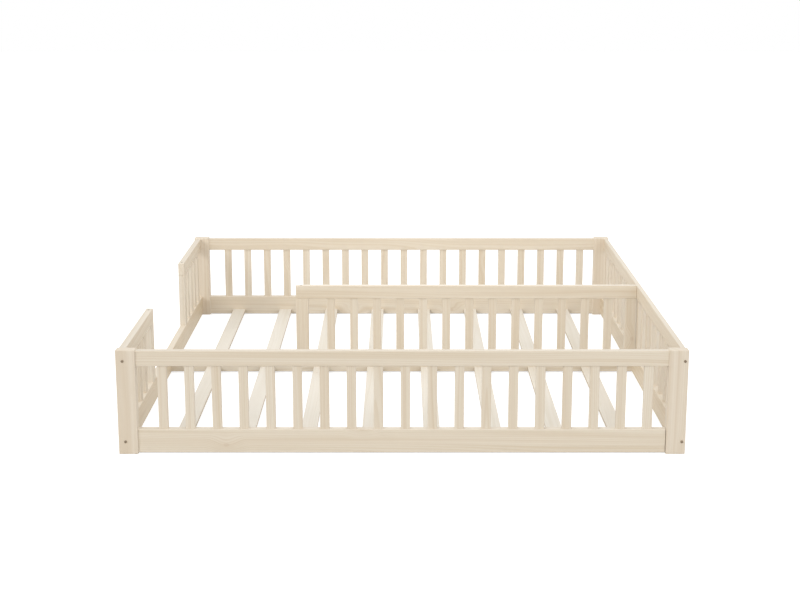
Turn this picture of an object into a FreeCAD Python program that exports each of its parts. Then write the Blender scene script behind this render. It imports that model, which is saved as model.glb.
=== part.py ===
import FreeCAD, Part
import os

# Slatted floor bed for two small mattresses that lie side by side. A low fence
# stands on all four sides, with an entrance gap in the left side, and a shorter
# fence divides the two bays. All sizes are in millimetres. The origin is on the
# floor at the middle of the bed: X runs left to right, Y from the front fence
# to the back fence, Z up. "Length" runs along a board, "height" is vertical.

# ---- Overall size ---------------------------------------------------------
bed_width = 1990.0              # left to right, over the posts
bed_depth = 2110.0              # front to back, over the posts

# ---- Corner posts ---------------------------------------------------------
post_width = 68.0               # left to right
post_depth = 40.0               # front to back
post_height = 378.0
post_ease = 3.0                 # rounding of every edge

# ---- Rails ----------------------------------------------------------------
top_rail_height = 55.0
top_rail_drop = 4.0             # post top down to the top of the rails
bottom_rail_height = 86.0
bottom_rail_lift = 4.0          # floor to the underside of the outer rails
centre_rail_lift = 6.0          # floor to the underside of the centre rail
panel_rail_thickness = 27.0     # front, back, centre and divider rails
left_rail_thickness = 26.0
right_bottom_rail_thickness = 26.0
right_top_rail_thickness = 18.0 # flush outside with the rail below
left_rail_setback = 4.0         # outer face of the post to that of the rail
right_rail_setback = 3.0
rail_ease = 2.5                 # rounding of a rail's edges
bottom_joint_gap = 2.0          # open joint at the right end of the front bottom rail

# ---- Balusters ------------------------------------------------------------
baluster_width = 33.0
baluster_thickness = 18.0
baluster_ease = 2.0
front_baluster_count = 19       # the back fence has as many
front_left_gap = 73.8           # clear gap beside the left post
front_right_gap = 49.8          # clear gap beside the right post
right_baluster_count = 18
right_end_gap = 63.5
side_baluster_count = 4         # in each short fence of the left side
section_post_gap = 76.5         # in a short fence, beside the post
near_section_stile_gap = 109.5  # in the short fence at the front, beside its stile
far_section_stile_gap = 85.5    # in the short fence at the back, beside its stile
divider_baluster_count = 13
divider_left_gap = 76.0
divider_right_gap = 53.5

# ---- Stiles, short fences and divider --------------------------------------
near_section_length = 603.0     # short fence at the front: post to its free end
far_section_length = 575.0      # the same at the back
stile_width = 52.0
divider_end_stile_width = 46.0  # the stile against the right side
divider_length = 1413.0
stile_ease = 2.5

# ---- Tenons and mortises --------------------------------------------------
tenon_length = 15.0
baluster_shoulder = 3.0         # step from the body to the tenon, all round
stile_shoulder = 8.0
end_stile_shoulder = 14.0       # left and right of the tenons on the end stile
mortise_clearance = 0.2         # on each side of a tenon
mortise_floor_gap = 1.0         # beyond the end of a tenon

# ---- Slats ----------------------------------------------------------------
slat_count = 8                  # in each bay
slat_width = 58.0
slat_thickness = 12.0
slat_lift = 15.0                # floor to the underside of a slat
slat_left_margin = 111.0        # left post to the first slat
slat_right_margin = 118.0       # last slat to the right post
slat_ease = 1.5
slat_tongue_length = 8.0        # the end of a slat, cut thinner, in the rail
slat_tongue_thickness = 8.0
slat_shoulder_gap = 0.5         # full thickness of the slat to the rail's face
housing_clearance = 0.3         # over a slat's tongue and beside it
housing_floor_gap = 1.0         # beyond its end

# ---- Dowels ---------------------------------------------------------------
dowel_diameter = 8.0
dowel_length = 35.0
dowel_clearance = 0.1           # round the dowel
dowel_end_gap = 1.0             # at each end of the dowel
top_dowel_spread = 26.0         # between the two dowels of a front or back top rail
bottom_dowel_spread = 44.0      # the same in a bottom rail
side_dowel_rise = 22.0          # bolt up to the dowel in a side rail's end
cross_dowel_spread = 48.0       # between the dowels at an end of the centre rail

# ---- Bolts and barrel nuts ------------------------------------------------
bolt_diameter = 6.0
bolt_head_diameter = 10.0
bolt_head_height = 2.5
bolt_head_ease = 0.8
bolt_socket_width = 4.0         # across flats
bolt_socket_depth = 3.0
bolt_overrun = 6.0              # bolt end beyond the nut's centre
bolt_hole_clearance = 0.5       # round the bolt, in wood
bolt_end_gap = 3.0              # beyond the end of the bolt
top_bolt_height = 338.5
bottom_bolt_height = 46.0
divider_bolt_height = 346.5
left_bolt_depth = 5.5           # inner face of a rail to the bolt in its end
right_bolt_depth = 8.5          # the same for the top rail, over the bolt below
nut_diameter = 10.0
nut_length = 9.0
nut_setback = 45.0              # end of the rail to the nut's centre
nut_clearance = 0.15            # round the nut
nut_thread_clearance = 0.1      # round the bolt, in the nut
nut_slot_width = 1.4
nut_slot_depth = 1.2

# ---- Screws in the free ends of the top rails -------------------------------
side_cap_screw_setback = 26.0   # free end of a short fence to its screw
divider_cap_screw_setback = 22.0
cap_screw_diameter = 5.0
cap_screw_head_diameter = 10.0
cap_screw_head_height = 3.0
cap_screw_length = 100.0        # under the head
cap_screw_socket_width = 4.0
cap_screw_socket_depth = 2.0
cap_screw_recess = 0.5          # top of the rail down to the head
cap_screw_clearance = 0.1       # round the screw
cap_screw_end_gap = 0.6         # beyond its end

# ---- Places worked out from the sizes above -------------------------------
ALONG_X = FreeCAD.Vector(1, 0, 0)
ALONG_Y = FreeCAD.Vector(0, 1, 0)
ALONG_Z = FreeCAD.Vector(0, 0, 1)

left_face = -bed_width / 2              # outer faces of the posts
right_face = bed_width / 2
front_face = -bed_depth / 2
back_face = bed_depth / 2
post_inner_left = left_face + post_width
post_inner_right = right_face - post_width
post_inner_front = front_face + post_depth
post_inner_back = back_face - post_depth

rail_top = post_height - top_rail_drop
top_rail_underside = rail_top - top_rail_height
bottom_rail_top = bottom_rail_lift + bottom_rail_height

front_rail_y = front_face + post_depth / 2      # middle of the rail's thickness
back_rail_y = back_face - post_depth / 2
front_rail_inner = front_rail_y + panel_rail_thickness / 2
back_rail_inner = back_rail_y - panel_rail_thickness / 2
centre_rail_front = -panel_rail_thickness / 2
centre_rail_back = panel_rail_thickness / 2

left_rail_outer = left_face + left_rail_setback
left_rail_inner = left_rail_outer + left_rail_thickness
left_rail_x = (left_rail_outer + left_rail_inner) / 2
right_rail_outer = right_face - right_rail_setback
right_bottom_inner = right_rail_outer - right_bottom_rail_thickness
right_top_inner = right_rail_outer - right_top_rail_thickness
right_top_x = (right_rail_outer + right_top_inner) / 2

near_section_end = post_inner_front + near_section_length
far_section_end = post_inner_back - far_section_length
divider_end = right_top_inner - divider_length

left_bolt_x = left_rail_inner - left_bolt_depth
right_bolt_x = right_top_inner + right_bolt_depth


# ---- Plain shapes ---------------------------------------------------------
def box(x_span, y_span, z_span):
    """A block between pairs of coordinates."""
    corner = FreeCAD.Vector(x_span[0], y_span[0], z_span[0])
    return Part.makeBox(x_span[1] - x_span[0], y_span[1] - y_span[0], z_span[1] - z_span[0], corner)


def board(x_span, y_span, z_span, ease, along=None):
    """A block with rounded edges: those that run one way, or all of them."""
    block = box(x_span, y_span, z_span)
    edges = block.Edges
    if along is not None:
        edges = [edge for edge in edges if abs(edge.tangentAt(edge.FirstParameter).dot(along)) > 0.5]
    return block.makeFillet(ease, edges)


def around(middle, size):
    """The span of a given size about a middle."""
    return (middle - size / 2, middle + size / 2)


def rod(diameter, start, direction, length):
    return Part.makeCylinder(diameter / 2, length, start, direction)


def hexagon_prism(width, start_height, height):
    """A six-sided prism about the Z axis, sized across its flats."""
    prism = None
    for angle in (0, 60, 120):
        # three crossed slabs leave the hexagon as what they have in common
        slab = box((-width / 2, width / 2), (-width, width), (start_height, start_height + height))
        slab.rotate(FreeCAD.Vector(0, 0, 0), ALONG_Z, angle)
        prism = slab if prism is None else prism.common(slab)
    return prism


def placed(shape, point, direction):
    """A copy of a shape made about +Z, turned to a direction and moved to a point."""
    copy = shape.copy()
    copy.Placement = FreeCAD.Placement(point, FreeCAD.Rotation(ALONG_Z, direction))
    return copy


def bar_middles(start, end, first_gap, last_gap, width, count):
    """Middles of equally spaced bars that leave the given gaps at the two ends."""
    first = start + first_gap + width / 2
    last = end - last_gap - width / 2
    step = (last - first) / (count - 1)
    return [first + step * index for index in range(count)]


def cut_by(piece, cutters):
    """The piece less every cutter that reaches it."""
    reaching = [cutter for cutter in cutters if cutter.BoundBox.intersect(piece.BoundBox)]
    return piece.cut(reaching) if reaching else piece


# ---- Upright bars with tenons ---------------------------------------------
def upright(x, y, size_x, size_y, ease, shoulder_x, shoulder_y):
    """A baluster or stile between the bottom and top rails, tenoned at both ends."""
    body = board(around(x, size_x), around(y, size_y), (bottom_rail_top, top_rail_underside), ease, ALONG_Z)
    tongue = box(
        around(x, size_x - 2 * shoulder_x),
        around(y, size_y - 2 * shoulder_y),
        (bottom_rail_top - tenon_length, top_rail_underside + tenon_length),
    )
    return body.fuse(tongue).removeSplitter()


def upright_mortises(x, y, size_x, size_y, shoulder_x, shoulder_y):
    """The pockets for both tenons of an upright, in the rail below and the rail above."""
    pocket_x = around(x, size_x - 2 * shoulder_x + 2 * mortise_clearance)
    pocket_y = around(y, size_y - 2 * shoulder_y + 2 * mortise_clearance)
    depth = tenon_length + mortise_floor_gap
    return [
        box(pocket_x, pocket_y, (bottom_rail_top - depth, bottom_rail_top)),
        box(pocket_x, pocket_y, (top_rail_underside, top_rail_underside + depth)),
    ]


mortises = []
uprights = {}


def add_uprights(name, places, size_x, size_y, ease, shoulder_x, shoulder_y):
    """One node of uprights at a list of (x, y) places, and their mortises."""
    uprights[name] = [upright(x, y, size_x, size_y, ease, shoulder_x, shoulder_y) for x, y in places]
    for x, y in places:
        mortises.extend(upright_mortises(x, y, size_x, size_y, shoulder_x, shoulder_y))


def add_balusters(name, places, size_x, size_y):
    add_uprights(name, places, size_x, size_y, baluster_ease, baluster_shoulder, baluster_shoulder)


def make_balusters():
    front_x = bar_middles(post_inner_left, post_inner_right, front_left_gap, front_right_gap,
                          baluster_width, front_baluster_count)
    for name, y in (("front_balusters", front_rail_y), ("back_balusters", back_rail_y)):
        add_balusters(name, [(x, y) for x in front_x], baluster_width, baluster_thickness)

    right_y = bar_middles(post_inner_front, post_inner_back, right_end_gap, right_end_gap,
                          baluster_width, right_baluster_count)
    right_places = [(right_top_x, y) for y in right_y]
    add_balusters("right_balusters", right_places, baluster_thickness, baluster_width)

    near_y = bar_middles(post_inner_front, near_section_end - stile_width, section_post_gap,
                         near_section_stile_gap, baluster_width, side_baluster_count)
    far_y = bar_middles(far_section_end + stile_width, post_inner_back, far_section_stile_gap,
                        section_post_gap, baluster_width, side_baluster_count)
    for name, middles in (("left_front_balusters", near_y), ("left_back_balusters", far_y)):
        add_balusters(name, [(left_rail_x, y) for y in middles], baluster_thickness, baluster_width)

    divider_x = bar_middles(divider_end + stile_width, right_top_inner - divider_end_stile_width,
                            divider_left_gap, divider_right_gap, baluster_width, divider_baluster_count)
    add_balusters("divider_balusters", [(x, 0) for x in divider_x], baluster_width, baluster_thickness)


def make_stiles():
    for name, y in (("left_front_stile", near_section_end - stile_width / 2),
                    ("left_back_stile", far_section_end + stile_width / 2)):
        add_uprights(name, [(left_rail_x, y)], left_rail_thickness, stile_width, stile_ease,
                     stile_shoulder, stile_shoulder)
    left_x = divider_end + stile_width / 2
    right_x = right_top_inner - divider_end_stile_width / 2
    add_uprights("divider_left_stile", [(left_x, 0)], stile_width, panel_rail_thickness,
                 stile_ease, stile_shoulder, stile_shoulder)
    add_uprights("divider_right_stile", [(right_x, 0)], divider_end_stile_width, panel_rail_thickness,
                 stile_ease, end_stile_shoulder, stile_shoulder)


# ---- Posts, rails and slats before drilling ---------------------------------
def make_posts():
    x_spans = {"left": (left_face, post_inner_left), "right": (post_inner_right, right_face)}
    y_spans = {"front": (front_face, post_inner_front), "back": (post_inner_back, back_face)}
    posts = {}
    for end_name, y_span in y_spans.items():
        for side_name, x_span in x_spans.items():
            name = "post_{}_{}".format(end_name, side_name)
            posts[name] = board(x_span, y_span, (0, post_height), post_ease)
    return posts


def make_rails():
    top_z = (top_rail_underside, rail_top)
    bottom_z = (bottom_rail_lift, bottom_rail_top)
    centre_z = (centre_rail_lift, bottom_rail_top)
    left_x = (left_rail_outer, left_rail_inner)
    right_top_x_span = (right_top_inner, right_rail_outer)
    right_bottom_x_span = (right_bottom_inner, right_rail_outer)
    full_x = (post_inner_left, post_inner_right)
    short_x = (post_inner_left, post_inner_right - bottom_joint_gap)
    full_y = (post_inner_front, post_inner_back)
    near_y = (post_inner_front, near_section_end)
    far_y = (far_section_end, post_inner_back)
    front_y = around(front_rail_y, panel_rail_thickness)
    back_y = around(back_rail_y, panel_rail_thickness)
    middle_y = (centre_rail_front, centre_rail_back)
    return {
        "front_top_rail": board(full_x, front_y, top_z, rail_ease, ALONG_X),
        "front_bottom_rail": board(short_x, front_y, bottom_z, rail_ease, ALONG_X),
        "back_top_rail": board(full_x, back_y, top_z, rail_ease, ALONG_X),
        "back_bottom_rail": board(full_x, back_y, bottom_z, rail_ease, ALONG_X),
        "right_top_rail": board(right_top_x_span, full_y, top_z, rail_ease, ALONG_Y),
        "right_bottom_rail": board(right_bottom_x_span, full_y, bottom_z, rail_ease, ALONG_Y),
        "left_bottom_rail": board(left_x, full_y, bottom_z, rail_ease, ALONG_Y),
        "left_front_top_rail": board(left_x, near_y, top_z, rail_ease),
        "left_back_top_rail": board(left_x, far_y, top_z, rail_ease),
        "centre_rail": board((left_rail_inner, right_bottom_inner), middle_y, centre_z, rail_ease, ALONG_X),
        "divider_top_rail": board((divider_end, right_top_inner), middle_y, top_z, rail_ease),
    }


# The faces of the rails in front of each bay and behind it: its slats run between them.
bays = {
    "front": (front_rail_inner, centre_rail_front),
    "back": (centre_rail_back, back_rail_inner),
}
slat_middles = bar_middles(post_inner_left, post_inner_right, slat_left_margin, slat_right_margin,
                           slat_width, slat_count)


slat_top = slat_lift + slat_thickness
slat_tongue_top = slat_lift + slat_tongue_thickness


def make_slats():
    slats = {}
    for bay_name, (front_end, back_end) in bays.items():
        y_span = (front_end - slat_tongue_length, back_end + slat_tongue_length)
        shoulder_spans = (
            (y_span[0], front_end + slat_shoulder_gap),
            (back_end - slat_shoulder_gap, y_span[1]),
        )
        for number, x in enumerate(slat_middles, start=1):
            name = "slat_{}_{}".format(bay_name, number)
            x_span = around(x, slat_width)
            slat = board(x_span, y_span, (slat_lift, slat_top), slat_ease, ALONG_Y)
            shoulders = [box(x_span, span, (slat_tongue_top, slat_top)) for span in shoulder_spans]
            slats[name] = slat.cut(shoulders)
    return slats


def make_slat_housings():
    """The pockets in the rails' faces that the tongues of the slats lie in."""
    z_span = (slat_lift, slat_tongue_top + housing_clearance)
    depth = slat_tongue_length + housing_floor_gap
    housings = []
    for front_end, back_end in bays.values():
        for x in slat_middles:
            x_span = around(x, slat_width + 2 * housing_clearance)
            housings.append(box(x_span, (front_end - depth, front_end), z_span))
            housings.append(box(x_span, (back_end, back_end + depth), z_span))
    return housings


# ---- Fasteners and the holes that they need --------------------------------
drillings = []


def make_dowels():
    """Dowels across the joints between rails and posts, and at the centre rail's ends."""
    middle_of_top = (top_rail_underside + rail_top) / 2
    middle_of_bottom = (bottom_rail_lift + bottom_rail_top) / 2
    joints = []
    for x in (post_inner_left, post_inner_right):
        for y in (front_rail_y, back_rail_y):
            for z in around(middle_of_top, top_dowel_spread) + around(middle_of_bottom, bottom_dowel_spread):
                joints.append((FreeCAD.Vector(x, y, z), ALONG_X))
    for x in (left_rail_x, right_top_x):
        for y in (post_inner_front, post_inner_back):
            for bolt_height in (top_bolt_height, bottom_bolt_height):
                joints.append((FreeCAD.Vector(x, y, bolt_height + side_dowel_rise), ALONG_Y))
    for x in (left_rail_inner, right_bottom_inner):
        for z in around(bottom_bolt_height, cross_dowel_spread):
            joints.append((FreeCAD.Vector(x, 0, z), ALONG_X))

    dowels = []
    for point, direction in joints:
        reach = dowel_reach(point)
        dowels.append(rod(dowel_diameter, point - direction * reach[0], direction, sum(reach)))
        hole_start = point - direction * (reach[0] + dowel_end_gap)
        hole_length = sum(reach) + 2 * dowel_end_gap
        drillings.append(rod(dowel_diameter + 2 * dowel_clearance, hole_start, direction, hole_length))
    return dowels


def dowel_reach(point):
    """How far a dowel goes to each side of its joint: less into a thin side rail."""
    half = dowel_length / 2
    if point.y != 0:
        return (half, half)
    rail_thickness = left_rail_thickness if point.x < 0 else right_bottom_rail_thickness
    short = rail_thickness / 2
    return (short, dowel_length - short) if point.x < 0 else (dowel_length - short, short)


def bolt(length):
    """A flat-headed bolt along +Z, with the underside of its head at the origin."""
    head_top = FreeCAD.Vector(0, 0, -bolt_head_height)
    head = Part.makeCylinder(bolt_head_diameter / 2, bolt_head_height, head_top)
    rim = [edge for edge in head.Edges if edge.BoundBox.ZMax < head_top.z / 2]
    head = head.makeFillet(bolt_head_ease, rim)
    shank = Part.makeCylinder(bolt_diameter / 2, length)
    socket = hexagon_prism(bolt_socket_width, -bolt_head_height, bolt_socket_depth)
    return head.fuse(shank).removeSplitter().cut(socket)


def barrel_nut(point, direction, bolt_direction):
    """A slotted cross nut whose middle is at the point, drilled for its bolt."""
    half = direction * (nut_length / 2)
    body = rod(nut_diameter, point - half, direction, nut_length)
    across = direction.cross(bolt_direction)
    slot = Part.makeBox(nut_slot_width, nut_diameter, nut_slot_depth,
                        FreeCAD.Vector(-nut_slot_width / 2, -nut_diameter / 2, 0))
    turn = FreeCAD.Rotation(bolt_direction, across, direction, "ZXY")
    slot.Placement = FreeCAD.Placement(point - half, turn)
    thread_start = point - bolt_direction * nut_diameter
    thread = rod(bolt_diameter + 2 * nut_thread_clearance, thread_start, bolt_direction, 2 * nut_diameter)
    return body.cut([slot, thread])


def bolted_joint(bearing_point, direction, length, rail_end_distance, nut_direction, nut_face_distance):
    """One bolt with its nut, and the holes for both.

    The bearing point is under the bolt's head, and the rail's end lies at
    rail_end_distance from it. The nut goes in from a face of the rail that is
    nut_face_distance from the bolt's line, along nut_direction.
    """
    nut_point = bearing_point + direction * (rail_end_distance + nut_setback)
    nut_hole_start = nut_point - nut_direction * nut_face_distance
    nut_hole_length = nut_face_distance + nut_length / 2 + bolt_hole_clearance
    nut_hole_diameter = nut_diameter + 2 * nut_clearance
    bolt_hole_diameter = bolt_diameter + 2 * bolt_hole_clearance
    drillings.append(rod(nut_hole_diameter, nut_hole_start, nut_direction, nut_hole_length))
    drillings.append(rod(bolt_hole_diameter, bearing_point, direction, length + bolt_end_gap))
    return placed(bolt(length), bearing_point, direction), barrel_nut(nut_point, nut_direction, direction)


def make_bolted_joints():
    """Bolts through the posts into the side rails, and through the side rails into the middle rails."""
    corner_bolts = []
    cross_bolts = []
    nuts = []

    corner_length = post_depth + nut_setback + bolt_overrun
    side_rails = (
        (left_bolt_x, -ALONG_X, bottom_bolt_height, left_rail_inner),
        (left_bolt_x, -ALONG_X, top_bolt_height, left_rail_inner),
        (right_bolt_x, ALONG_X, bottom_bolt_height, right_bottom_inner),
        (right_bolt_x, ALONG_X, top_bolt_height, right_top_inner),
    )
    for x, outward, z, rail_face in side_rails:
        for y, inward in ((front_face, ALONG_Y), (back_face, -ALONG_Y)):
            bearing_point = FreeCAD.Vector(x, y, z)
            one_bolt, one_nut = bolted_joint(bearing_point, inward, corner_length, post_depth,
                                             outward, abs(x - rail_face))
            corner_bolts.append(one_bolt)
            nuts.append(one_nut)

    cross_length = left_rail_thickness + nut_setback + bolt_overrun
    middle_rails = (
        (left_rail_outer, ALONG_X, left_rail_thickness, bottom_bolt_height),
        (right_rail_outer, -ALONG_X, right_bottom_rail_thickness, bottom_bolt_height),
        (right_rail_outer, -ALONG_X, right_top_rail_thickness, divider_bolt_height),
    )
    for x, inward, rail_thickness, z in middle_rails:
        bearing_point = FreeCAD.Vector(x, 0, z)
        one_bolt, one_nut = bolted_joint(bearing_point, inward, cross_length, rail_thickness,
                                         -ALONG_Y, panel_rail_thickness / 2)
        cross_bolts.append(one_bolt)
        nuts.append(one_nut)
    return corner_bolts, cross_bolts, nuts


def make_cap_screws():
    """Long screws down through the free ends of the top rails into the stiles."""
    head_bottom = rail_top - cap_screw_recess - cap_screw_head_height
    head = Part.makeCylinder(cap_screw_head_diameter / 2, cap_screw_head_height)
    shank = rod(cap_screw_diameter, FreeCAD.Vector(0, 0, 0), -ALONG_Z, cap_screw_length)
    socket = hexagon_prism(cap_screw_socket_width, cap_screw_head_height - cap_screw_socket_depth,
                           cap_screw_socket_depth)
    screw = head.fuse(shank).removeSplitter().cut(socket)

    screws = []
    for x, y in ((left_rail_x, near_section_end - side_cap_screw_setback),
                 (left_rail_x, far_section_end + side_cap_screw_setback),
                 (divider_end + divider_cap_screw_setback, 0)):
        seat = FreeCAD.Vector(x, y, head_bottom)
        screws.append(screw.translated(seat))
        drillings.append(rod(cap_screw_head_diameter + 2 * cap_screw_clearance, seat, ALONG_Z,
                             cap_screw_head_height + cap_screw_recess))
        drillings.append(rod(cap_screw_diameter + 2 * cap_screw_clearance, seat, -ALONG_Z,
                             cap_screw_length + cap_screw_end_gap))
    return screws


# ---- The whole bed --------------------------------------------------------
def build():
    make_balusters()
    make_stiles()
    fasteners = {"dowels": make_dowels(), "cap_screws": make_cap_screws()}
    fasteners["corner_bolts"], fasteners["cross_bolts"], fasteners["barrel_nuts"] = make_bolted_joints()

    nodes = {}
    for name, post in make_posts().items():
        nodes[name] = [cut_by(post, drillings)]
    rail_cuts = mortises + make_slat_housings() + drillings
    for name, rail in make_rails().items():
        nodes[name] = [cut_by(rail, rail_cuts)]
    for name, pieces in uprights.items():
        nodes[name] = [cut_by(piece, drillings) for piece in pieces]
    for name, slat in make_slats().items():
        nodes[name] = [slat]
    nodes.update(fasteners)
    return nodes


def save(nodes):
    os.makedirs("parts", exist_ok=True)
    for name, solids in nodes.items():
        shape = solids[0] if len(solids) == 1 else Part.makeCompound(solids)
        shape.exportStep("parts/{}.step".format(name))
        print("{:24s} {:3d} solid(s) {:12.0f} mm3".format(name, len(shape.Solids), shape.Volume))


save(build())
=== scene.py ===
import math
import random

import bmesh
import bpy
from mathutils import Matrix, Vector


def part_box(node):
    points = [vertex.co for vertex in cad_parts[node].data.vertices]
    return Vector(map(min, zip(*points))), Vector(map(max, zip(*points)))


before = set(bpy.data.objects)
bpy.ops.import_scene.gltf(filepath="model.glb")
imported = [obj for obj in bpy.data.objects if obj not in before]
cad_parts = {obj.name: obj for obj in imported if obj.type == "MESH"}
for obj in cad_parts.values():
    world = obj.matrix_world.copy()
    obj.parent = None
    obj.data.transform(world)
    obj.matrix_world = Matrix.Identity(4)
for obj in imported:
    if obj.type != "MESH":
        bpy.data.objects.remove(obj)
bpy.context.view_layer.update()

# Floor bed of pale pine: boards, uprights and slats with grain that runs along each
# of them, dark bolt heads, zinc barrel nuts, a white floor and soft light.
# All lengths are in metres.

# ---- Camera ----------------------------------------------------------------
CAMERA_PLACE = (-0.007, -6.071, 1.730)
CAMERA_TILT = 13.16             # degrees below level
CAMERA_LENS = 67.5              # millimetres, on a sensor 36 wide
CAMERA_SENSOR = 36.0

# ---- Bars that stand in a row within one node -------------------------------
BALUSTER_WIDTH = 0.033
BAR_COUNTS = {
    "front_balusters": 19,
    "back_balusters": 19,
    "right_balusters": 18,
    "left_front_balusters": 4,
    "left_back_balusters": 4,
    "divider_balusters": 13,
}
SLATS_IN_A_BAY = 8              # each a node of its own

# ---- Light -------------------------------------------------------------------
WORLD_LIGHT = 0.85              # on the bed; the camera sees 1, which is white
FLOOR_HALF = 20.0               # middle of the floor to its edge
FLOOR_SHADE = 0.60              # share of the light that the floor gives back
FLOOR_GLOW = 0.70               # what brings it up to white for the camera
# direction to each lamp, how wide it is in degrees, and its strength
FAR_LAMPS = {
    "window": ((-1.0, -1.2, 0.8), 25.0, 0.88),
    "fill": ((0.7, -1.0, 0.35), 45.0, 0.40),
}
SOFTBOX_HEIGHT = 1.4
SOFTBOX_SIZE = 1.6
SOFTBOX_POWER = 6.6             # watts

# ---- Directions --------------------------------------------------------------
X = Vector((1, 0, 0))
Y = Vector((0, 1, 0))
Z = Vector((0, 0, 1))


def srgb(red, green, blue):
    """A colour given as it looks on a screen, 0 to 255, as shader light."""
    shades = [level / 255 for level in (red, green, blue)]
    linear = [s / 12.92 if s <= 0.04045 else ((s + 0.055) / 1.055) ** 2.4 for s in shades]
    return (*linear, 1.0)


# ---- Pine, as it is sawn and finished for each kind of piece -----------------
# edge: how far a board's narrow faces go towards painted light, a pale painted sheen unless a painted
# shade is given
PAINTED_SHEEN_EDGE = srgb(226, 221, 212)
PINES = {
    "rail": {"early": srgb(224, 213, 195), "late": srgb(202, 183, 154),
             "figure": 0.36, "spread": 0.10, "edge": 0.30},
    # painted shade: the low side rails by the floor get warmer, more saturated wood that stands in for the
    # shade there
    "low side rail in painted shade": {"early": srgb(225, 211, 188), "late": srgb(203, 180, 145),
                      "figure": 0.36, "spread": 0.10, "edge": 0.35},
    "post": {"early": srgb(223, 211, 193), "late": srgb(203, 184, 157),
             "figure": 0.28, "spread": 0.10, "edge": 0.05},
    "upright": {"early": srgb(225, 215, 198), "late": srgb(202, 182, 153),
                "figure": 0.38, "spread": 0.28, "edge": 0.15},
    # slats: their narrow side faces go most of the way to a dark painted shade
    "slat": {"early": srgb(229, 223, 212), "late": srgb(214, 204, 185),
             "figure": 0.30, "spread": 0.12, "edge": 0.7, "painted edge shade": srgb(188, 168, 138)},
}
SANDED_WOOD = srgb(245, 239, 228)
KNOT_WOOD = srgb(150, 104, 62)
KNOT_DARKNESS = 0.72            # how far a knot goes from late wood to that colour
ARRIS_WIDTH = 0.005
SQUARE_ON = (0.6, 0.9)          # a face counts as an end or an edge as it turns to look that way
WOOD_SPECULAR = 0.35
WOOD_ROUGHNESS = 0.52
LATE_ROUGHNESS = -0.08          # what late wood, fibres and ends each add to it
FIBRE_ROUGHNESS = 0.10
END_ROUGHNESS = 0.18
LATE_HEIGHT = 0.5               # of late wood, where a fibre's is 1
WOOD_RELIEF = (0.25, 0.0003)    # strength and depth of the raised grain

# ---- How strongly each mark on the pine shows, from 0 to 1 ----------------------
BAND_SHARE = 0.42
FIBRE_SHARE = 0.22
KNOT_SHARE = 0.16
SWIRL_SHARE = 0.03
ARRIS_SHARE = 0.10
END_SHARE = 0.16

# ---- Where a board was cut: a pair is the least and the most ----------------------
RING_WIDTH = (0.0045, 0.0075)
HEART_ANGLE = (15, 165)         # in degrees, from the board's width
HEART_DISTANCE = (0.05, 0.13)   # middle of the board to the heart of its log
LOG_PLACE = (-20, 20)           # along the timber
BAR_SPREAD = (6.0, 0.16, 0.08)  # over which the bars of a row were cut: along, across, through

# ---- How the timber grew ---------------------------------------------------------
# Noise is given as its frequency to a metre: along, across and through the board, or
# for the bands along the log and across its rings. A pair named SHOW is the level of
# that noise at which its mark starts to show, and at which it is full.
WAVES = (1.4, 9.0, 9.0)
WAVE_DEPTH = 0.022              # how far the rings wave in and out
TAPER = 0.007                   # how far a ring shifts in a metre of log
LATE_SETS_IN = (0.35, 0.88)     # where across a ring its late wood starts, and is full
LATE_BREAKS_OFF = (0.93, 1.0)
VIGOUR = (-0.6, 1.0)            # leaves the weakest ring about a third of its late wood
BANDS = (0.7, 85.0, 1.0)
BANDS_SHOW = (0.40, 0.74)
FIBRES = (16.0, 620.0, 620.0)
FIBRES_SHOW = (0.50, 0.80)
KNOT_LAYOUT = (0.6, 1.0, 0.0)   # cells longer along the board, and right through it
KNOT_CELLS = 3.4                # to a metre across, each with one knot at most
CLEAR_CELLS = 0.62              # share of them without a knot
KNOT_RADIUS = (0.004, 0.008)    # of its middle, and to the end of its rim
SWIRL_RADIUS = 0.05
SWIRL_DEPTH = 0.020             # how far a knot pushes the rings

# ---- Metal and beech, with noise and pairs as above ------------------------------
BRONZED_STEEL = (srgb(150, 136, 118), srgb(122, 108, 90))   # clean and dull
ZINC_PLATE = (srgb(196, 196, 190), srgb(158, 157, 150))
METAL_ROUGHNESS = (0.32, 0.55)  # least and most
METAL_RELIEF = (0.15, 0.0002)
MARKS = (420.0, 420.0, 420.0)
MARKS_SHOW = (0.40, 0.72)
PATCHES = (90.0, 90.0, 90.0)
PATCHES_SHOW = (0.3, 0.7)
BEECH_WOOD = srgb(214, 178, 138)
BEECH_FLECK = srgb(188, 146, 104)
BEECH_ROUGHNESS = 0.6
BEECH_RELIEF = (0.2, 0.0002)
FLECKS = (60.0, 500.0, 500.0)
FLECKS_SHOW = (0.5, 0.7)


# ---- Shader nodes --------------------------------------------------------------
def add(tree, kind, values=None, **settings):
    """A node with its settings. A value is plain, or an output that gets linked."""
    made = tree.nodes.new(kind)
    for name, setting in settings.items():
        setattr(made, name, setting)
    for key, value in (values or {}).items():
        if isinstance(value, bpy.types.NodeSocket):
            tree.links.new(value, made.inputs[key])
        else:
            made.inputs[key].default_value = value
    return made


def value_of(tree, operation, *values):
    """The output of a Math node on up to three values."""
    return add(tree, "ShaderNodeMath", dict(enumerate(values)), operation=operation).outputs[0]


def vector_of(tree, operation, *values, output=0):
    """An output of a Vector Math node."""
    return add(tree, "ShaderNodeVectorMath", dict(enumerate(values)), operation=operation).outputs[output]


def fade(tree, value, start, end, low=0.0, high=1.0):
    """A smooth step from low to high while the value goes from start to end."""
    values = {"Value": value, "From Min": start, "From Max": end, "To Min": low, "To Max": high}
    return add(tree, "ShaderNodeMapRange", values, interpolation_type="SMOOTHSTEP").outputs["Result"]


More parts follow.
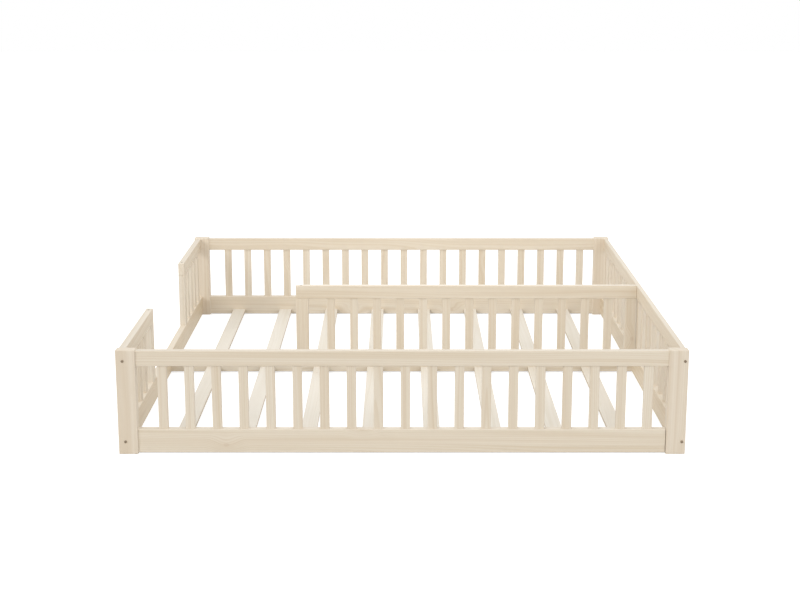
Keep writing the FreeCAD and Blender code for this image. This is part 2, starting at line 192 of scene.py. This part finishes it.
def blend_colours(tree, share, first, second):
    """The first colour, gone towards the second by a share of 0 to 1."""
    mixer = add(tree, "ShaderNodeMix", data_type="RGBA")
    sockets = {"Factor_Float": share, "A_Color": first, "B_Color": second}
    for socket in mixer.inputs:
        value = sockets.get(socket.identifier)
        if isinstance(value, bpy.types.NodeSocket):
            tree.links.new(value, socket)
        elif value is not None:
            socket.default_value = value
    return next(socket for socket in mixer.outputs if socket.identifier == "Result_Color")


def stretched_noise(tree, place, scale, detail=1.0, roughness=0.5):
    """Noise drawn out along the grain: scale is its frequency along, across and through."""
    stretched = vector_of(tree, "MULTIPLY", place, scale)
    values = {"Vector": stretched, "Scale": 1.0, "Detail": detail, "Roughness": roughness}
    return add(tree, "ShaderNodeTexNoise", values).outputs[0]


def new_group(name, inputs, outputs):
    """A shader group with its sockets, as (group, its inputs, its output node)."""
    group = bpy.data.node_groups.new(name, "ShaderNodeTree")
    for socket_name, kind in inputs:
        group.interface.new_socket(socket_name, in_out="INPUT", socket_type="NodeSocket" + kind)
    for socket_name, kind in outputs:
        group.interface.new_socket(socket_name, in_out="OUTPUT", socket_type="NodeSocket" + kind)
    source = group.nodes.new("NodeGroupInput")
    target = group.nodes.new("NodeGroupOutput")
    return group, source.outputs, target


def use_group(tree, group, values):
    return add(tree, "ShaderNodeGroup", values, node_tree=group).outputs


# ---- Effects that several materials share --------------------------------------
def make_bar_places():
    """Gives each bar of a row its own middle and its own stretch of timber.

    Place is measured from the middle of the row, with the row along its Y.
    """
    group, given, target = new_group(
        "bar places",
        [("Place", "Vector"), ("First Bar", "Float"), ("Pitch", "Float")],
        [("Place", "Vector"), ("Timber", "Vector"), ("Tone", "Float")],
    )
    parts = add(group, "ShaderNodeSeparateXYZ", {0: given["Place"]}).outputs
    from_first = value_of(group, "SUBTRACT", parts["Y"], given["First Bar"])
    number = value_of(group, "ROUND", value_of(group, "DIVIDE", from_first, given["Pitch"]))
    across = value_of(group, "SUBTRACT", from_first, value_of(group, "MULTIPLY", number, given["Pitch"]))
    place = add(group, "ShaderNodeCombineXYZ", {"X": parts["X"], "Y": across, "Z": parts["Z"]}).outputs[0]
    chance = add(group, "ShaderNodeTexWhiteNoise", {"W": number}, noise_dimensions="1D").outputs
    spread = vector_of(group, "SUBTRACT", chance["Color"], (0.5, 0.5, 0.5))
    timber = vector_of(group, "MULTIPLY", spread, BAR_SPREAD)
    group.links.new(place, target.inputs["Place"])
    group.links.new(vector_of(group, "ADD", place, timber), target.inputs["Timber"])
    group.links.new(chance["Value"], target.inputs["Tone"])
    return group


def make_sanded_arris():
    """1 on the sanded edges of a board, 0 on its faces. Half Size is that of the board."""
    group, given, target = new_group(
        "sanded arris",
        [("Place", "Vector"), ("Half Size", "Vector"), ("Width", "Float")],
        [("Arris", "Float")],
    )
    inward = vector_of(group, "SUBTRACT", given["Half Size"], vector_of(group, "ABSOLUTE", given["Place"]))
    depth = add(group, "ShaderNodeSeparateXYZ", {0: inward}).outputs
    nearer = value_of(group, "MINIMUM", depth["X"], depth["Y"])
    further = value_of(group, "MAXIMUM", depth["X"], depth["Y"])
    middle = value_of(group, "MAXIMUM", nearer, value_of(group, "MINIMUM", further, depth["Z"]))
    share = value_of(group, "DIVIDE", middle, given["Width"])
    group.links.new(fade(group, share, 0.0, 1.0, 1.0, 0.0), target.inputs["Arris"])
    return group


def make_pine_timber():
    """Sawn pine: growth rings about the log's heart, broad soft bands, fibres and small knots.

    Timber is measured from the heart of the log: X along it, Y across the board's
    wide face, Z through the board.
    """
    group, given, target = new_group(
        "pine timber",
        [("Timber", "Vector"), ("End", "Float"), ("Edge", "Float"), ("Arris", "Float"),
         ("Painted Edge Share", "Float"), ("Painted Edge Light", "Color"), ("Tone", "Float"), ("Early Wood", "Color"),
         ("Late Wood", "Color"), ("Figure", "Float"), ("Ring Width", "Float")],
        [("Color", "Color"), ("Roughness", "Float"), ("Height", "Float")],
    )
    timber = given["Timber"]

    # knots run through the board, so they are laid out on its wide face alone
    face = vector_of(group, "MULTIPLY", timber, KNOT_LAYOUT)
    cells = add(group, "ShaderNodeTexVoronoi", {"Vector": face, "Scale": KNOT_CELLS},
                voronoi_dimensions="2D").outputs
    knot_reach = value_of(group, "DIVIDE", cells["Distance"], KNOT_CELLS)
    chance = add(group, "ShaderNodeSeparateColor", {0: cells["Color"]}).outputs["Red"]
    here = value_of(group, "GREATER_THAN", chance, CLEAR_CELLS)
    swirl = value_of(group, "MULTIPLY", here, fade(group, knot_reach, 0.0, SWIRL_RADIUS, 1.0, 0.0))
    knot = value_of(group, "MULTIPLY", here, fade(group, knot_reach, *KNOT_RADIUS, 1.0, 0.0))

    # growth rings: distance from the heart, with waves, taper and the swirl round a knot
    from_heart = vector_of(group, "LENGTH", vector_of(group, "MULTIPLY", timber, (0, 1, 1)), output=1)
    waves = stretched_noise(group, timber, WAVES)
    along = add(group, "ShaderNodeSeparateXYZ", {0: timber}).outputs["X"]
    radius = value_of(group, "MULTIPLY_ADD", waves, WAVE_DEPTH, from_heart)
    radius = value_of(group, "MULTIPLY_ADD", along, TAPER, radius)
    radius = value_of(group, "MULTIPLY_ADD", swirl, SWIRL_DEPTH, radius)
    turns = value_of(group, "DIVIDE", radius, given["Ring Width"])
    year = value_of(group, "FLOOR", turns)
    season = value_of(group, "FRACT", turns)
    summer = fade(group, season, *LATE_SETS_IN)
    winter = fade(group, season, *LATE_BREAKS_OFF, 1.0, 0.0)
    vigour = add(group, "ShaderNodeTexWhiteNoise", {"W": year}, noise_dimensions="1D").outputs["Value"]
    band = value_of(group, "MULTIPLY", summer, winter)
    late = value_of(group, "MULTIPLY", band, fade(group, vigour, *VIGOUR))

    # broad soft bands keep to the rings, so that they close into flames where these turn
    rings = add(group, "ShaderNodeCombineXYZ", {"X": along, "Y": radius}).outputs[0]
    broad = stretched_noise(group, rings, BANDS, detail=2.0)
    fibre = stretched_noise(group, timber, FIBRES, detail=2.0, roughness=0.65)

    # colour: late wood over early wood, then bands, fibres and knots. The narrow faces
    # take painted light, a pale painted sheen or a painted shade, and the ends and the sanded arrises are
    # paler
    colour = blend_colours(group, value_of(group, "MULTIPLY", late, given["Figure"]),
                           given["Early Wood"], given["Late Wood"])
    broad_share = fade(group, broad, *BANDS_SHOW, 0.0, BAND_SHARE)
    colour = blend_colours(group, broad_share, colour, given["Late Wood"])
    colour = blend_colours(group, given["Tone"], colour, given["Late Wood"])
    fibre_share = fade(group, fibre, *FIBRES_SHOW, 0.0, FIBRE_SHARE)
    colour = blend_colours(group, fibre_share, colour, given["Late Wood"])
    knot_colour = blend_colours(group, KNOT_DARKNESS, given["Late Wood"], KNOT_WOOD)
    colour = blend_colours(group, value_of(group, "MULTIPLY", knot, KNOT_SHARE), colour, knot_colour)
    colour = blend_colours(group, value_of(group, "MULTIPLY", swirl, SWIRL_SHARE), colour, knot_colour)
    painted_edge_share = value_of(group, "MULTIPLY", given["Edge"], given["Painted Edge Share"])
    colour = blend_colours(group, painted_edge_share, colour, given["Painted Edge Light"])
    paler = value_of(group, "MAXIMUM", value_of(group, "MULTIPLY", given["Arris"], ARRIS_SHARE),
                     value_of(group, "MULTIPLY", given["End"], END_SHARE))
    colour = blend_colours(group, paler, colour, SANDED_WOOD)

    roughness = value_of(group, "MULTIPLY_ADD", late, LATE_ROUGHNESS, WOOD_ROUGHNESS)
    roughness = value_of(group, "MULTIPLY_ADD", fibre, FIBRE_ROUGHNESS, roughness)
    roughness = value_of(group, "MULTIPLY_ADD", given["End"], END_ROUGHNESS, roughness)
    height = value_of(group, "MULTIPLY_ADD", late, LATE_HEIGHT, fibre)
    group.links.new(colour, target.inputs["Color"])
    group.links.new(roughness, target.inputs["Roughness"])
    group.links.new(height, target.inputs["Height"])
    return group


def make_metal_wear():
    """Faint handling marks on small metal parts."""
    group, given, target = new_group(
        "metal wear",
        [("Place", "Vector"), ("Clean", "Color"), ("Dull", "Color")],
        [("Color", "Color"), ("Roughness", "Float"), ("Height", "Float")],
    )
    marks = stretched_noise(group, given["Place"], MARKS, detail=3.0)
    patches = stretched_noise(group, given["Place"], PATCHES)
    share = fade(group, marks, *MARKS_SHOW)
    group.links.new(blend_colours(group, share, given["Clean"], given["Dull"]), target.inputs["Color"])
    group.links.new(fade(group, patches, *PATCHES_SHOW, *METAL_ROUGHNESS), target.inputs["Roughness"])
    group.links.new(marks, target.inputs["Height"])
    return group


# ---- Materials -----------------------------------------------------------------
def new_material(name):
    """An empty node material, as (material, its tree, its surface shader)."""
    material = bpy.data.materials.new(name)
    material.use_nodes = True
    tree = material.node_tree
    tree.nodes.clear()
    shader = tree.nodes.new("ShaderNodeBsdfPrincipled")
    output = tree.nodes.new("ShaderNodeOutputMaterial")
    tree.links.new(shader.outputs[0], output.inputs["Surface"])
    return material, tree, shader


def raise_grain(tree, shader, height, strength, depth):
    bump = add(tree, "ShaderNodeBump", {"Height": height, "Strength": strength, "Distance": depth})
    tree.links.new(bump.outputs[0], shader.inputs["Normal"])


def pine_piece(node, pine, along, across):
    """Pine for one node: its grain runs along, and its wide face lies along and across."""
    low, high = (Vector(corner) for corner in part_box(node))
    turn = Matrix((along, across, along.cross(across)))
    middle = turn @ ((low + high) / 2)
    half_size = Vector(map(abs, turn @ ((high - low) / 2)))
    chance = random.Random(node)
    wood = PINES[pine]

    material, tree, shader = new_material("pine " + node)
    coordinates = add(tree, "ShaderNodeTexCoord").outputs
    mapping = {"Vector": coordinates["Object"], "Location": -middle, "Rotation": turn.to_euler()}
    place = add(tree, "ShaderNodeMapping", mapping, vector_type="POINT").outputs[0]
    facing = add(tree, "ShaderNodeMapping", {"Vector": coordinates["Normal"], "Rotation": turn.to_euler()},
                 vector_type="VECTOR").outputs[0]
    facing = vector_of(tree, "ABSOLUTE", facing)
    facing = add(tree, "ShaderNodeSeparateXYZ", {0: facing}).outputs
    end = fade(tree, facing["X"], *SQUARE_ON)
    # the narrow faces, where the painted sheen or painted shade goes
    edge = fade(tree, facing["Y"], *SQUARE_ON)

    timber = place
    tone = chance.random() * wood["spread"]
    if node in BAR_COUNTS:
        reach = half_size.y - BALUSTER_WIDTH / 2
        pitch = 2 * reach / (BAR_COUNTS[node] - 1)
        bars = use_group(tree, BAR_PLACES, {"Place": place, "First Bar": -reach, "Pitch": pitch})
        place, timber = bars["Place"], bars["Timber"]
        tone = value_of(tree, "MULTIPLY", bars["Tone"], wood["spread"])
        half_size.y = BALUSTER_WIDTH / 2
    board = {"Place": place, "Half Size": half_size, "Width": ARRIS_WIDTH}
    arris = use_group(tree, SANDED_ARRIS, board)["Arris"]

    # where the heart of the log lay, seen from the middle of this board
    heart_angle = math.radians(chance.uniform(*HEART_ANGLE))
    heart_distance = chance.uniform(*HEART_DISTANCE)
    off_centre = (heart_distance * math.cos(heart_angle), heart_distance * math.sin(heart_angle))
    timber = vector_of(tree, "ADD", timber, (chance.uniform(*LOG_PLACE), *off_centre))
    grain = use_group(tree, PINE_TIMBER, {
        "Timber": timber,
        "End": end,
        "Edge": edge,
        "Arris": arris,
        # painted light on the narrow faces: a pale painted sheen, or the painted shade given for a kind
        "Painted Edge Share": wood["edge"],
        "Painted Edge Light": wood.get("painted edge shade", PAINTED_SHEEN_EDGE),
        "Tone": tone,
        "Early Wood": wood["early"],
        "Late Wood": wood["late"],
        "Figure": wood["figure"],
        "Ring Width": chance.uniform(*RING_WIDTH),
    })
    tree.links.new(grain["Color"], shader.inputs["Base Color"])
    tree.links.new(grain["Roughness"], shader.inputs["Roughness"])
    raise_grain(tree, shader, grain["Height"], *WOOD_RELIEF)
    shader.inputs["Specular IOR Level"].default_value = WOOD_SPECULAR
    return material


def metal(name, clean, dull):
    material, tree, shader = new_material(name)
    place = add(tree, "ShaderNodeTexCoord").outputs["Object"]
    wear = use_group(tree, METAL_WEAR, {"Place": place, "Clean": clean, "Dull": dull})
    tree.links.new(wear["Color"], shader.inputs["Base Color"])
    tree.links.new(wear["Roughness"], shader.inputs["Roughness"])
    raise_grain(tree, shader, wear["Height"], *METAL_RELIEF)
    shader.inputs["Metallic"].default_value = 1.0
    return material


def beech():
    """Turned beech with short dark flecks, for the dowels."""
    material, tree, shader = new_material("beech")
    place = add(tree, "ShaderNodeTexCoord").outputs["Object"]
    flecks = fade(tree, stretched_noise(tree, place, FLECKS, detail=2.0), *FLECKS_SHOW)
    colour = blend_colours(tree, flecks, BEECH_WOOD, BEECH_FLECK)
    tree.links.new(colour, shader.inputs["Base Color"])
    raise_grain(tree, shader, flecks, *BEECH_RELIEF)
    shader.inputs["Roughness"].default_value = BEECH_ROUGHNESS
    return material


def dress(node, material):
    """Puts one material on a node of the frame."""
    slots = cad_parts[node].data.materials
    slots.clear()
    slots.append(material)


def dress_woodwork():
    kinds = []
    for name in ("front", "back"):
        kinds.append((name + "_top_rail", "rail", X, Z))
        kinds.append((name + "_bottom_rail", "rail", X, Z))
        kinds.append((name + "_balusters", "upright", Z, X))
        for side in ("left", "right"):
            kinds.append(("post_{}_{}".format(name, side), "post", Z, X))
        for number in range(1, SLATS_IN_A_BAY + 1):
            kinds.append(("slat_{}_{}".format(name, number), "slat", Y, X))
        kinds.append(("left_{}_top_rail".format(name), "rail", Y, Z))
        kinds.append(("left_{}_balusters".format(name), "upright", Z, Y))
        kinds.append(("left_{}_stile".format(name), "upright", Z, Y))
    for side in ("left", "right"):
        # the low side rails take the wood with painted shade
        kinds.append((side + "_bottom_rail", "low side rail in painted shade", Y, Z))
    kinds.append(("right_top_rail", "rail", Y, Z))
    kinds.append(("right_balusters", "upright", Z, Y))
    for name in ("centre_rail", "divider_top_rail"):
        kinds.append((name, "rail", X, Z))
    for name in ("divider_balusters", "divider_left_stile", "divider_right_stile"):
        kinds.append((name, "upright", Z, X))
    for node, pine, along, across in kinds:
        dress(node, pine_piece(node, pine, along, across))


def dress_fittings():
    dark = metal("bronzed steel", *BRONZED_STEEL)
    for node in ("corner_bolts", "cross_bolts", "cap_screws"):
        dress(node, dark)
    dress("barrel_nuts", metal("zinc plate", *ZINC_PLATE))
    dress("dowels", beech())


# ---- Floor, world, lamps and camera ----------------------------------------------
def seen_directly(tree):
    """1 for rays from the camera, a mirror or glass, and 0 for rays that carry light."""
    rays = add(tree, "ShaderNodeLightPath").outputs
    mirrored = value_of(tree, "MAXIMUM", rays["Is Glossy Ray"], rays["Is Transmission Ray"])
    return value_of(tree, "MAXIMUM", rays["Is Camera Ray"], mirrored)


def lay_floor():
    """A white floor that looks as white as the background and still takes the shadow."""
    mesh = bmesh.new()
    bmesh.ops.create_grid(mesh, x_segments=1, y_segments=1, size=FLOOR_HALF)
    data = bpy.data.meshes.new("floor")
    mesh.to_mesh(data)
    mesh.free()
    floor = bpy.data.objects.new("floor", data)
    bpy.context.scene.collection.objects.link(floor)

    material = bpy.data.materials.new("white floor")
    material.use_nodes = True
    tree = material.node_tree
    tree.nodes.clear()
    shade = (FLOOR_SHADE, FLOOR_SHADE, FLOOR_SHADE, 1.0)
    paint = add(tree, "ShaderNodeBsdfDiffuse", {"Color": shade}).outputs[0]
    strength = value_of(tree, "MULTIPLY", seen_directly(tree), FLOOR_GLOW)
    glow = add(tree, "ShaderNodeEmission", {"Strength": strength}).outputs[0]
    both = add(tree, "ShaderNodeAddShader", {0: paint, 1: glow}).outputs[0]
    add(tree, "ShaderNodeOutputMaterial", {"Surface": both})
    data.materials.append(material)


def light_world():
    """Even white light from all round, behind a background that is plain white."""
    world = bpy.data.worlds.new("studio")
    world.use_nodes = True
    tree = world.node_tree
    tree.nodes.clear()
    levels = {"Value": seen_directly(tree), "To Min": WORLD_LIGHT, "To Max": 1.0}
    strength = add(tree, "ShaderNodeMapRange", levels).outputs["Result"]
    values = {"Color": (1.0, 1.0, 1.0, 1.0), "Strength": strength}
    white = add(tree, "ShaderNodeBackground", values).outputs[0]
    add(tree, "ShaderNodeOutputWorld", {"Surface": white})
    bpy.context.scene.world = world


def shine_from(name, towards, softness, strength):
    """A far lamp: towards is the direction to it, and softness how wide it is, in degrees."""
    data = bpy.data.lights.new(name, "SUN")
    data.angle = math.radians(softness)
    data.energy = strength
    lamp = bpy.data.objects.new(name, data)
    lamp.rotation_euler = Vector(towards).to_track_quat("Z", "Y").to_euler()
    bpy.context.scene.collection.objects.link(lamp)


def hang_softbox():
    """A square lamp over the middle of the bed that lights the inside of the fences."""
    data = bpy.data.lights.new("softbox", "AREA")
    data.size = SOFTBOX_SIZE
    data.energy = SOFTBOX_POWER
    lamp = bpy.data.objects.new("softbox", data)
    lamp.location = (0.0, 0.0, SOFTBOX_HEIGHT)
    lamp.visible_camera = False
    bpy.context.scene.collection.objects.link(lamp)


def place_camera():
    data = bpy.data.cameras.new("camera")
    data.lens = CAMERA_LENS
    data.sensor_width = CAMERA_SENSOR
    data.sensor_fit = "HORIZONTAL"
    data.clip_end = 100.0
    camera = bpy.data.objects.new("camera", data)
    camera.location = CAMERA_PLACE
    camera.rotation_euler = (math.radians(90 - CAMERA_TILT), 0, 0)
    bpy.context.scene.collection.objects.link(camera)
    bpy.context.scene.camera = camera


place_camera()
lay_floor()
light_world()
for lamp_name, (towards, softness, strength) in FAR_LAMPS.items():
    shine_from(lamp_name, towards, softness, strength)
hang_softbox()

BAR_PLACES = make_bar_places()
SANDED_ARRIS = make_sanded_arris()
PINE_TIMBER = make_pine_timber()
METAL_WEAR = make_metal_wear()
dress_woodwork()
dress_fittings()

bpy.context.scene.view_settings.view_transform = "Standard"
